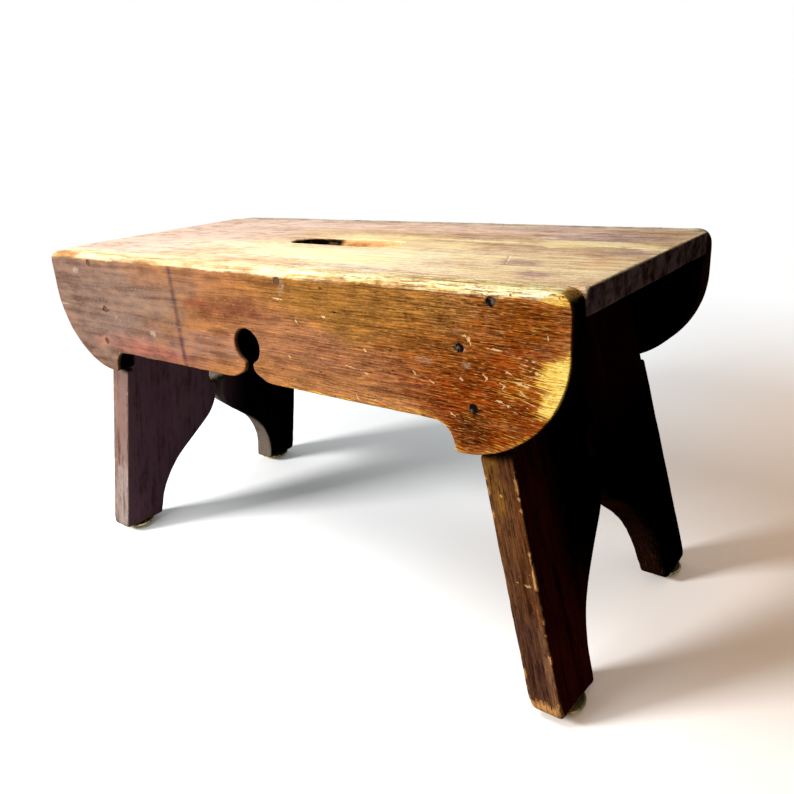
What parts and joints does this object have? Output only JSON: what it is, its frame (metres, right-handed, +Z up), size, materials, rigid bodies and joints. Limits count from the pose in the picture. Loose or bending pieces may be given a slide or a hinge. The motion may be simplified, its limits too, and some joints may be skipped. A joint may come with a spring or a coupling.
{
  "type": "shoe fitting stool",
  "caption": "Low antique wooden bench stool: a seat board with a hand slot between two aprons with rounded ends, on splayed leg boards with keyhole arches, nailed, on domed metal glides.",
  "frame": {"origin": "on the floor under the middle of the seat, at the middle of the bounding box's bottom face", "axes": "+X along the length of the seat, +Z up, -Y the side whose keyhole the picture shows (the front apron)"},
  "size_m": [0.402, 0.1876, 0.2227],
  "materials": {
    "seat_wood": "old stain worn to bare wood",
    "apron_wood": "old red-brown stain, worn at the edges",
    "leg_wood": "dark brown stain",
    "glide_brass": "tarnished",
    "nail_steel": "dark, oxidised"
  },
  "bodies": {
    "root": {"seat_board": "seat_wood", "front_apron": "apron_wood", "rear_apron": "apron_wood", "left_leg": "leg_wood", "right_leg": "leg_wood", "glide_cap_front_left": "glide_brass", "glide_cap_front_right": "glide_brass", "glide_cap_rear_left": "glide_brass", "glide_cap_rear_right": "glide_brass", "glide_nail_front_left": "nail_steel", "glide_nail_front_right": "nail_steel", "glide_nail_rear_left": "nail_steel", "glide_nail_rear_right": "nail_steel", "front_leg_nails": "nail_steel", "front_seat_nails": "nail_steel", "rear_leg_nails": "nail_steel", "rear_seat_nails": "nail_steel"}
  },
  "joints": []
}
